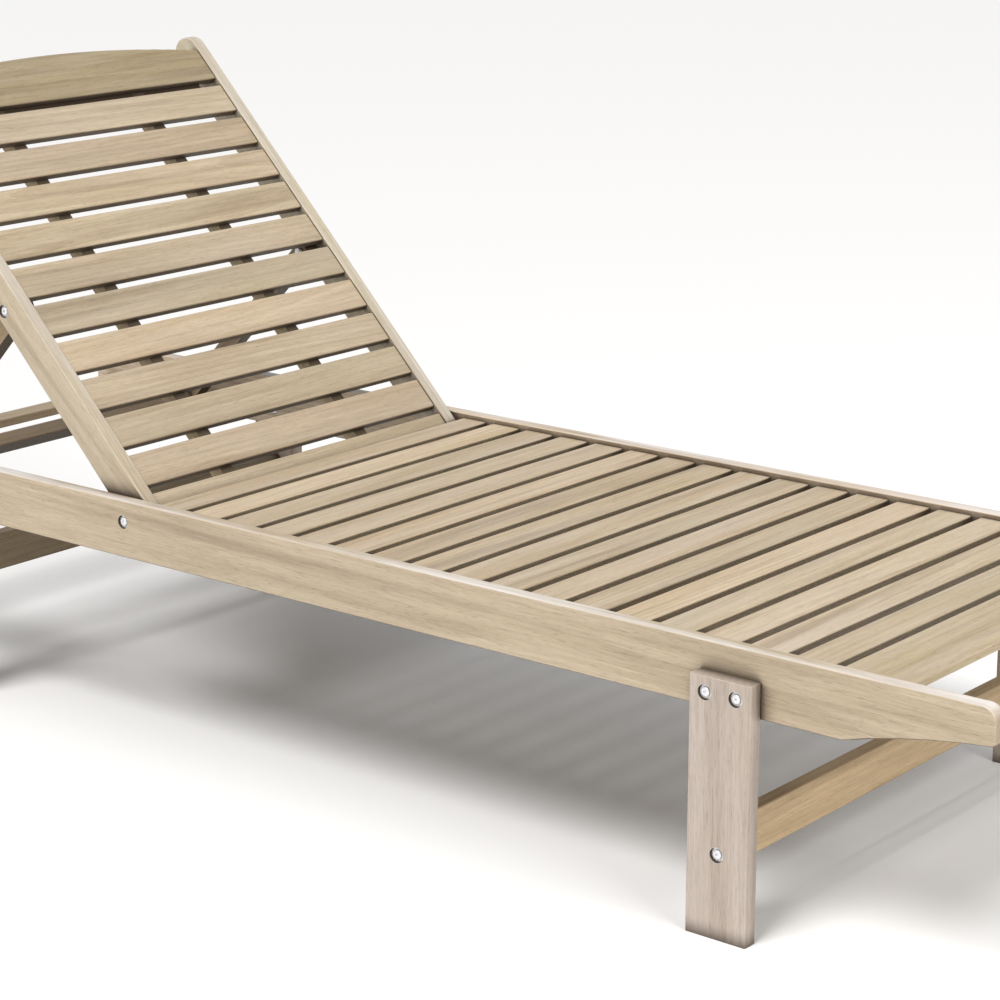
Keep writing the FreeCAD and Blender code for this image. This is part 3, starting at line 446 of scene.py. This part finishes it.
def wood_material(name, centre, run, tone, wear_and_highlight, dust_and_sheen=0.2):
    """The finish of one board: its own cut of the tree, tone and patches."""
    wood = bpy.context.scene.lounger.wood
    draw = random.Random(name)
    material, tree, shader = new_material("wood_" + name)
    swing = Euler((draw.uniform(-0.5, 0.5), draw.uniform(-0.02, 0.02), draw.uniform(-0.025, 0.025)))
    turn = (swing.to_matrix() @ GRAIN_TURNS[run].to_matrix()).to_euler()
    middle = turn.to_matrix() @ centre
    offset = Vector((draw.uniform(-0.3, 0.3), draw.choice((-1, 1)) * draw.uniform(0.015, 0.075),
                     draw.uniform(-0.05, 0.05)))
    coordinates = tree.nodes.new("ShaderNodeTexCoord")
    place = new_node(tree, "ShaderNodeMapping", {"Vector": coordinates.outputs["Object"],
                                                 "Location": offset - middle, "Rotation": turn})
    facing = new_node(tree, "ShaderNodeMapping", {"Vector": coordinates.outputs["Normal"], "Rotation": turn},
                      vector_type="NORMAL")
    lift = 1 + draw.uniform(-wood.variation, wood.variation)
    warm = draw.uniform(-0.02, 0.02)
    own_tone = [channel * lift for channel in tone]
    own_tone = (own_tone[0] * (1 + warm), own_tone[1], own_tone[2] * (1 - warm), 1)
    patch = wood.blush if draw.random() < 0.5 else wood.olive
    seed = draw.uniform(0, 50)
    grain = placed_effect(tree, grain_effect(), {
        "Vector": place.outputs[0], "Normal": facing.outputs[0], "Pale": wood.pale, "Ring": wood.ring,
        "Patch": patch, "Tone": own_tone, "Figure": draw.uniform(0.18, 0.52), "Seed": seed})
    # Pale dust on faces turned up, partly a painted highlight
    dusted_and_sheened = placed_effect(tree, dust_and_sheen_effect(), {
        "Vector": place.outputs[0], "Normal": coordinates.outputs["Normal"], "Color": grain.outputs["Color"],
        "Amount": dust_and_sheen, "Seed": seed})
    # Lighter edges: partly wear, partly a painted highlight
    worn_and_highlit = placed_effect(tree, edge_wear_and_highlight_effect(), {
        "Vector": place.outputs[0], "Color": dusted_and_sheened.outputs["Color"], "Worn": wood.worn_and_highlit, "Amount": wear_and_highlight,
        "Width": wood.edge_width, "Seed": seed})
    # Painted shade in gaps, inside corners and on faces turned down
    painted_shade_node = placed_effect(tree, painted_shade_effect(), {
        "Normal": coordinates.outputs["Normal"], "Color": worn_and_highlit.outputs["Color"], "Reach": wood.painted_shade_reach})
    bump = new_node(tree, "ShaderNodeBump", {"Height": grain.outputs["Height"], "Strength": 0.55,
                                             "Distance": wood.relief})
    put(tree, shader.inputs["Base Color"], painted_shade_node.outputs["Color"])
    put(tree, shader.inputs["Roughness"], grain.outputs["Roughness"])
    put(tree, shader.inputs["Normal"], bump.outputs[0])
    shader.inputs["Specular IOR Level"].default_value = 0.42
    return material


def finish_board(node, run, tone=PLAIN_TONE, wear_and_highlight=0.55, dust_and_sheen=0.2):
    low, high = (Vector(corner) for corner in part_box(node))
    board = NODES[node]
    board.data.materials.clear()
    board.data.materials.append(wood_material(node, (low + high) / 2, run, tone, wear_and_highlight, dust_and_sheen))


# Metal
def zinc_material():
    existing = bpy.data.materials.get("zinc_plate")
    if existing:
        return existing
    metal = bpy.context.scene.lounger.metal
    material, tree, shader = new_material("zinc_plate")
    coordinates = tree.nodes.new("ShaderNodeTexCoord")
    position = coordinates.outputs["Object"]
    patches = noise(tree, position, 3.0, detail=4.0, roughness=0.6, scale=420.0)
    scratches = noise(tree, stretched(tree, position, (300.0, 300.0, 4200.0)), 7.0, detail=2.0)
    colour = mixed(tree, spread(tree, patches, 0.42, 0.68), metal.colour, metal.dull)
    worn_and_highlit = placed_effect(tree, edge_wear_and_highlight_effect(), {
        "Vector": position, "Color": colour, "Worn": RUBBED_ZINC_COLOUR, "Amount": 0.6, "Width": 0.4 * MM,
        "Seed": 2.0})
    bump = new_node(tree, "ShaderNodeBump", {"Height": scratches, "Strength": 0.2, "Distance": 0.05 * MM})
    put(tree, shader.inputs["Base Color"], worn_and_highlit.outputs["Color"])
    put(tree, shader.inputs["Roughness"], spread(tree, patches, 0.3, 0.7, 0.28, 0.48))
    put(tree, shader.inputs["Normal"], bump.outputs[0])
    shader.inputs["Metallic"].default_value = 0.35
    return material


def finish_metal(node):
    piece = NODES[node]
    piece.data.materials.clear()
    piece.data.materials.append(zinc_material())


# Bolts and washers
def islands(node):
    """(lowest, highest) corner of each separate solid of a node."""
    shape = bmesh.new()
    shape.from_mesh(NODES[node].data)
    bmesh.ops.remove_doubles(shape, verts=shape.verts, dist=0.01 * MM)
    left = set(shape.verts)
    boxes = []
    while left:
        reached = {left.pop()}
        front = list(reached)
        while front:
            vertex = front.pop()
            for edge in vertex.link_edges:
                other = edge.other_vert(vertex)
                if other in left:
                    left.discard(other)
                    reached.add(other)
                    front.append(other)
        low = Vector([min(vertex.co[axis] for vertex in reached) for axis in range(3)])
        high = Vector([max(vertex.co[axis] for vertex in reached) for axis in range(3)])
        boxes.append((low, high))
    shape.free()
    return sorted(boxes, key=lambda corners: tuple(corners[0]))


def revolved(name, profile, steps=40):
    """A closed solid of revolution about Z from (radius, height) points."""
    shape = bmesh.new()
    spine = [shape.verts.new((radius, 0, height)) for radius, height in profile]
    edges = [shape.edges.new(pair) for pair in zip(spine, spine[1:])]
    bmesh.ops.spin(shape, geom=spine + edges, cent=(0, 0, 0), axis=(0, 0, 1), dvec=(0, 0, 0),
                   angle=2 * math.pi, steps=steps, use_merge=True)
    bmesh.ops.remove_doubles(shape, verts=shape.verts, dist=0.001 * MM)
    bmesh.ops.recalc_face_normals(shape, faces=shape.faces)
    for face in shape.faces:
        face.smooth = True
    for edge in shape.edges:
        if len(edge.link_faces) == 2 and edge.calc_face_angle() > math.radians(35):
            edge.smooth = False
    mesh = bpy.data.meshes.new(name)
    shape.to_mesh(mesh)
    shape.free()
    return bpy.data.objects.new(name, mesh)


def bolt_head():
    """A button head with a socket, drawn on its seat."""
    bolts = bpy.context.scene.lounger.bolts
    radius = bolts.head_radius
    height = bolts.head_height
    socket = bolts.socket_flats / 2
    arc = [(radius * math.cos(angle), height * (0.45 + 0.55 * math.sin(angle)))
           for angle in [math.radians(step) for step in range(0, 61, 10)]]
    profile = [(0, 0), (radius * 0.94, 0), (radius, height * 0.08)] + arc
    profile += [(socket * 1.32, height), (socket * 1.12, height - 0.2 * MM)]
    profile += [(socket * 1.06, height * 0.36), (0, height * 0.28)]
    return revolved("bolt_head_pattern", profile)


def washer_ring():
    """A flat washer with broken edges, drawn on its seat."""
    bolts = bpy.context.scene.lounger.bolts
    outer = bolts.washer_radius
    inner = bolts.shank_radius + 0.25 * MM
    top = bolts.washer_thickness
    ease = 0.25 * MM
    profile = [(inner, ease), (inner, top - ease), (inner + ease, top), (outer - ease, top),
               (outer, top - ease), (outer, ease), (outer - ease, 0), (inner + ease, 0), (inner, ease)]
    return revolved("washer_pattern", profile)


def fastener_tree():
    """Sets a pattern on every point, turned outward, with a shank of the point's own length under it."""
    tree = bpy.data.node_groups.get("Fasteners On Points")
    if tree:
        return tree
    tree = bpy.data.node_groups.new("Fasteners On Points", "GeometryNodeTree")
    tree.interface.new_socket("Geometry", in_out="INPUT", socket_type="NodeSocketGeometry")
    tree.interface.new_socket("Pattern", in_out="INPUT", socket_type="NodeSocketObject")
    tree.interface.new_socket("Shank Radius", in_out="INPUT", socket_type="NodeSocketFloat")
    tree.interface.new_socket("Seed", in_out="INPUT", socket_type="NodeSocketInt")
    tree.interface.new_socket("Material", in_out="INPUT", socket_type="NodeSocketMaterial")
    tree.interface.new_socket("Geometry", in_out="OUTPUT", socket_type="NodeSocketGeometry")
    given = tree.nodes.new("NodeGroupInput").outputs
    outward = new_node(tree, "GeometryNodeInputNamedAttribute", {"Name": "outward"}, data_type="FLOAT_VECTOR")
    length = new_node(tree, "GeometryNodeInputNamedAttribute", {"Name": "shank"}, data_type="FLOAT")
    facing = new_node(tree, "FunctionNodeAlignRotationToVector", {"Vector": outward.outputs[0]}, axis="Z")
    chance = new_node(tree, "FunctionNodeRandomValue", {"Seed": given["Seed"]}, data_type="FLOAT")
    angle = new_node(tree, "ShaderNodeMath", operation="MULTIPLY")
    put(tree, angle.inputs[0], chance.outputs[1])
    put(tree, angle.inputs[1], 2 * math.pi)
    twist = new_node(tree, "FunctionNodeAxisAngleToRotation", {"Axis": (0, 0, 1), "Angle": angle.outputs[0]})
    turns = {"Rotation": facing.outputs[0], "Rotate By": twist.outputs[0]}
    turned = new_node(tree, "FunctionNodeRotateRotation", turns, rotation_space="LOCAL")
    pattern = new_node(tree, "GeometryNodeObjectInfo", {"Object": given["Pattern"]})
    heads = new_node(tree, "GeometryNodeInstanceOnPoints", {
        "Points": given["Geometry"], "Instance": pattern.outputs["Geometry"], "Rotation": turned.outputs[0]})
    rod = new_node(tree, "GeometryNodeMeshCylinder", {
        "Vertices": 24, "Radius": given["Shank Radius"], "Depth": 1.0})
    hung = new_node(tree, "GeometryNodeTransform", {"Geometry": rod.outputs[0], "Translation": (0, 0, -0.5)})
    reach = new_node(tree, "ShaderNodeCombineXYZ", {"X": 1.0, "Y": 1.0, "Z": length.outputs[0]})
    has_shank = new_node(tree, "FunctionNodeCompare", data_type="FLOAT", operation="GREATER_THAN")
    put(tree, has_shank.inputs[0], length.outputs[0])
    put(tree, has_shank.inputs[1], 0.0)
    shanks = new_node(tree, "GeometryNodeInstanceOnPoints", {
        "Points": given["Geometry"], "Selection": has_shank.outputs[0], "Instance": hung.outputs[0],
        "Rotation": turned.outputs[0], "Scale": reach.outputs[0]})
    both = tree.nodes.new("GeometryNodeJoinGeometry")
    tree.links.new(heads.outputs[0], both.inputs[0])
    tree.links.new(shanks.outputs[0], both.inputs[0])
    real = new_node(tree, "GeometryNodeRealizeInstances", {"Geometry": both.outputs[0]})
    coated = new_node(tree, "GeometryNodeSetMaterial", {
        "Geometry": real.outputs[0], "Material": given["Material"]})
    out = tree.nodes.new("NodeGroupOutput")
    tree.links.new(coated.outputs[0], out.inputs[0])
    return tree


def set_on_points(name, seats, pattern, seed):
    """A plain mesh of a pattern on (point, outward, shank length) seats."""
    points = bpy.data.meshes.new(name + "_seats")
    points.from_pydata([tuple(seat[0]) for seat in seats], [], [])
    points.attributes.new("outward", "FLOAT_VECTOR", "POINT")
    points.attributes.new("shank", "FLOAT", "POINT")
    for index, seat in enumerate(seats):
        points.attributes["outward"].data[index].vector = seat[1]
        points.attributes["shank"].data[index].value = seat[2]
    carrier = bpy.data.objects.new(name + "_carrier", points)
    bpy.context.scene.collection.objects.link(carrier)
    modifier = carrier.modifiers.new("Fasteners", "NODES")
    modifier.node_group = fastener_tree()
    values = {"Pattern": pattern, "Shank Radius": bpy.context.scene.lounger.bolts.shank_radius,
              "Seed": seed, "Material": zinc_material()}
    for item in modifier.node_group.interface.items_tree:
        if item.in_out == "INPUT" and item.name in values:
            modifier[item.identifier] = values[item.name]
    bpy.context.view_layer.update()
    evaluated = carrier.evaluated_get(bpy.context.evaluated_depsgraph_get())
    mesh = bpy.data.meshes.new_from_object(evaluated)
    bpy.data.objects.remove(carrier)
    if not mesh.polygons:
        raise RuntimeError(name + " came out empty")
    return mesh


def joined(name, meshes):
    """One object at the origin from several meshes that share a material."""
    shape = bmesh.new()
    for mesh in meshes:
        shape.from_mesh(mesh)
    whole = bpy.data.meshes.new(name)
    shape.to_mesh(whole)
    shape.free()
    whole.materials.append(zinc_material())
    piece = bpy.data.objects.new(name, whole)
    bpy.context.scene.collection.objects.link(piece)
    return piece


def bolt_seats(node):
    """The seats of a node's bolts: each lies along Y with its head to the outside."""
    bolts = bpy.context.scene.lounger.bolts
    seats = []
    for low, high in islands(node):
        side = 1 if low.y + high.y > 0 else -1
        length = high.y - low.y
        if length > 2 * bolts.head_height:
            top = high.y if side > 0 else low.y
            point = Vector(((low.x + high.x) / 2, top - side * bolts.head_height, (low.z + high.z) / 2))
            seats.append((point, Vector((0, side, 0)), length - bolts.head_height))
    return seats


def washer_seats(node):
    """The seats of a node's washers."""
    bolts = bpy.context.scene.lounger.bolts
    seats = []
    for low, high in islands(node):
        if high.y - low.y < 2 * bolts.washer_thickness:
            side = 1 if low.y + high.y > 0 else -1
            inner = low.y if side > 0 else high.y
            point = Vector(((low.x + high.x) / 2, inner, (low.z + high.z) / 2))
            seats.append((point, Vector((0, side, 0)), 0.0))
    return seats


# Operators: one for each group of like pieces
class LoungerOperator:
    bl_options = {"REGISTER", "UNDO"}


class LOUNGER_OT_side_rails(LoungerOperator, bpy.types.Operator):
    """Finish the long side rails and the ledgers inside them"""

    bl_idname = "lounger.side_rails"
    bl_label = "Side rails"

    def execute(self, context):
        for side in SIDES:
            # The rails' strong dust and edge lightening are a painted highlight along their tops
            finish_board("rail_" + side, "along", RAIL_TONE, wear_and_highlight=0.8, dust_and_sheen=1.3)
            # The ledgers' dark tone is painted shade
            finish_board("ledger_" + side, "along", LEDGER_SHADE_TONE, wear_and_highlight=0.2)
        return {"FINISHED"}


class LOUNGER_OT_racks(LoungerOperator, bpy.types.Operator):
    """Finish the notched racks and the cross rail between them"""

    bl_idname = "lounger.racks"
    bl_label = "Racks"

    def execute(self, context):
        # The racks' and the cross rail's dark tones are painted shade
        for side in SIDES:
            finish_board("rack_" + side, "along", RACK_SHADE_TONE, wear_and_highlight=0.4)
        finish_board("head_cross_rail", "across", CROSS_RAIL_SHADE_TONE, wear_and_highlight=0.4)
        return {"FINISHED"}


class LOUNGER_OT_legs(LoungerOperator, bpy.types.Operator):
    """Finish the four legs and the two stretchers"""

    bl_idname = "lounger.legs"
    bl_label = "Legs"

    def execute(self, context):
        finish_board("stretcher_front", "across", FRONT_STRETCHER_TONE, wear_and_highlight=0.4)
        # The rear stretcher's dark tone is painted shade
        finish_board("stretcher_rear", "across", REAR_STRETCHER_SHADE_TONE, wear_and_highlight=0.4)
        for place in ("front", "rear"):
            for side in SIDES:
                finish_board("leg_{}_{}".format(place, side), "upright", LEG_TONE, wear_and_highlight=0.7)
        return {"FINISHED"}


class LOUNGER_OT_seat_slats(LoungerOperator, bpy.types.Operator):
    """Finish the slats of the fixed seat and the bullnosed foot board"""

    bl_idname = "lounger.seat_slats"
    bl_label = "Seat slats"

    def execute(self, context):
        for name in sorted(NODES):
            if name.startswith("seat_slat_"):
                finish_board(name, "across")
        finish_board("foot_board", "across", FOOT_BOARD_TONE, wear_and_highlight=0.6)
        return {"FINISHED"}


class LOUNGER_OT_backrest(LoungerOperator, bpy.types.Operator):
    """Finish the stiles, slats, top board and hidden battens of the backrest"""

    bl_idname = "lounger.backrest"
    bl_label = "Backrest"

    def execute(self, context):
        for side in SIDES:
            # The stiles' strong dust and edge lightening are a painted highlight along their fronts
            finish_board("stile_" + side, "stile", STILE_TONE, wear_and_highlight=0.8, dust_and_sheen=0.8)
            finish_board("back_batten_" + side, "stile", BATTEN_TONE, wear_and_highlight=0.4)
        for name in sorted(NODES):
            if name.startswith("back_slat_"):
                finish_board(name, "back_slat")
        finish_board("top_board", "back_slat", TOP_BOARD_TONE, wear_and_highlight=0.7)
        # The head rail's dark tone is painted shade
        finish_board("back_head_rail", "back_slat", HEAD_RAIL_SHADE_TONE, wear_and_highlight=0.1, dust_and_sheen=0.0)
        return {"FINISHED"}


class LOUNGER_OT_prop(LoungerOperator, bpy.types.Operator):
    """Finish the prop that holds the backrest up"""

    bl_idname = "lounger.prop"
    bl_label = "Prop"

    def execute(self, context):
        # The prop arms' and crossbar's dark tones are painted shade
        for side in SIDES:
            finish_board("prop_arm_" + side, "arm", PROP_ARM_SHADE_TONE, wear_and_highlight=0.5)
        finish_board("prop_crossbar", "crossbar", CROSSBAR_SHADE_TONE, wear_and_highlight=0.4)
        return {"FINISHED"}


class LOUNGER_OT_bolts(LoungerOperator, bpy.types.Operator):
    """Make the sunk bolts and their washers"""

    bl_idname = "lounger.bolts"
    bl_label = "Bolts"

    def execute(self, context):
        head = bolt_head()
        ring = washer_ring()
        frame_bolts = joined("sunk_bolts", [
            set_on_points("sunk_bolts", bolt_seats("short_bolts") + bolt_seats("long_bolts"), head, 1)])
        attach(frame_bolts, "frame")
        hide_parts("short_bolts", "long_bolts")
        frame_rings = joined("bolt_washers", [
            set_on_points("bolt_washers", washer_seats("frame_washers"), ring, 2)])
        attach(frame_rings, "frame")
        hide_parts("frame_washers")
        pivot_bolts = joined("pivot_bolts", [
            set_on_points("pivot_bolts", bolt_seats("prop_bolts"), head, 3),
            set_on_points("pivot_washers", washer_seats("prop_bolts"), ring, 4)])
        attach(pivot_bolts, "backrest")
        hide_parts("prop_bolts")
        for pattern in (head, ring):
            bpy.data.objects.remove(pattern)
        return {"FINISHED"}


class LOUNGER_OT_hardware(LoungerOperator, bpy.types.Operator):
    """Finish the nuts and the wood screws"""

    bl_idname = "lounger.hardware"
    bl_label = "Nuts and screws"

    def execute(self, context):
        for node in ("frame_nuts", "barrel_nuts", "frame_screws", "prop_nuts", "back_screws"):
            finish_metal(node)
        return {"FINISHED"}


def soft_sun(name, toward, strength, spread_angle, colour):
    """A broad distant light, so that the floor stays even."""
    light = bpy.data.lights.new(name, "SUN")
    light.energy = strength
    light.angle = spread_angle
    light.color = colour
    lamp = bpy.data.objects.new(name, light)
    lamp.rotation_euler = (-toward).to_track_quat("-Z", "Y").to_euler()
    bpy.context.scene.collection.objects.link(lamp)


def area_light(name, place, aim, size, power, colour):
    light = bpy.data.lights.new(name, "AREA")
    light.shape = "RECTANGLE"
    light.size, light.size_y = size
    light.energy = power
    light.color = colour
    lamp = bpy.data.objects.new(name, light)
    lamp.location = place
    lamp.rotation_euler = (aim - place).to_track_quat("-Z", "Y").to_euler()
    bpy.context.scene.collection.objects.link(lamp)


class LOUNGER_OT_stage(LoungerOperator, bpy.types.Operator):
    """Lay the pale floor and set the lights and the camera"""

    bl_idname = "lounger.stage"
    bl_label = "Stage"

    def execute(self, context):
        stage = context.scene.lounger.stage
        low = Vector(CAD_BOX[0])
        high = Vector(CAD_BOX[1])
        middle = (low + high) / 2
        corners = [(x * FLOOR_REACH, y * FLOOR_REACH, 0) for x, y in ((-1, -1), (1, -1), (1, 1), (-1, 1))]
        mesh = bpy.data.meshes.new("floor")
        mesh.from_pydata(corners, [], [(0, 1, 2, 3)])
        floor = bpy.data.objects.new("floor", mesh)
        material, _, shader = new_material("floor")
        shader.inputs["Base Color"].default_value = stage.floor
        shader.inputs["Roughness"].default_value = 0.9
        mesh.materials.append(material)
        context.scene.collection.objects.link(floor)
        world = bpy.data.worlds.new("studio")
        world.use_nodes = True
        sky = world.node_tree
        lighting = sky.nodes["Background"]
        lighting.inputs["Color"].default_value = WHITE
        lighting.inputs["Strength"].default_value = SKY_LIGHT
        seen = new_node(sky, "ShaderNodeBackground", {"Color": WHITE, "Strength": SKY_SEEN})
        path = sky.nodes.new("ShaderNodeLightPath")
        either = sky.nodes.new("ShaderNodeMixShader")
        sky.links.new(path.outputs["Is Camera Ray"], either.inputs[0])
        sky.links.new(lighting.outputs[0], either.inputs[1])
        sky.links.new(seen.outputs[0], either.inputs[2])
        sky.links.new(either.outputs[0], sky.nodes["World Output"].inputs["Surface"])
        context.scene.world = world
        soft_sun("key", KEY_TOWARD, KEY_STRENGTH, KEY_SPREAD, KEY_COLOUR)
        area_light("fill", middle + FILL_FROM_MIDDLE, middle, FILL_SIZE, FILL_POWER, FILL_COLOUR)
        forward = Vector((-math.sin(stage.azimuth) * math.cos(stage.elevation),
                          math.cos(stage.azimuth) * math.cos(stage.elevation), -math.sin(stage.elevation)))
        lens = bpy.data.cameras.new("camera")
        lens.lens = stage.lens
        lens.sensor_width = SENSOR_WIDTH
        camera = bpy.data.objects.new("camera", lens)
        camera.location = Vector(stage.aim) - forward * stage.distance
        camera.rotation_euler = forward.to_track_quat("-Z", "Y").to_euler()
        context.scene.collection.objects.link(camera)
        context.scene.camera = camera
        context.scene.view_settings.view_transform = "Standard"
        return {"FINISHED"}


class LOUNGER_PT_panel(bpy.types.Panel):
    """Lists the lounger's steps"""

    bl_idname = "LOUNGER_PT_panel"
    bl_label = "Sun Lounger"
    bl_space_type = "VIEW_3D"
    bl_region_type = "UI"
    bl_category = "Lounger"

    def draw(self, context):
        for operator in OPERATORS:
            self.layout.operator(operator.bl_idname)


OPERATORS = (LOUNGER_OT_side_rails, LOUNGER_OT_racks, LOUNGER_OT_legs, LOUNGER_OT_seat_slats,
             LOUNGER_OT_backrest, LOUNGER_OT_prop, LOUNGER_OT_bolts, LOUNGER_OT_hardware, LOUNGER_OT_stage)
SETTINGS = (WoodSettings, MetalSettings, BoltSettings, StageSettings, LoungerSettings)
CLASSES = SETTINGS + OPERATORS + (LOUNGER_PT_panel,)


def register():
    for cls in CLASSES:
        bpy.utils.register_class(cls)
    bpy.types.Scene.lounger = bpy.props.PointerProperty(type=LoungerSettings)


def unregister():
    del bpy.types.Scene.lounger
    for cls in reversed(CLASSES):
        bpy.utils.unregister_class(cls)


def main():
    register()
    for operator in OPERATORS:
        step = operator.bl_idname.split(".")[1]
        getattr(bpy.ops.lounger, step)()


if __name__ == "__main__":
    main()
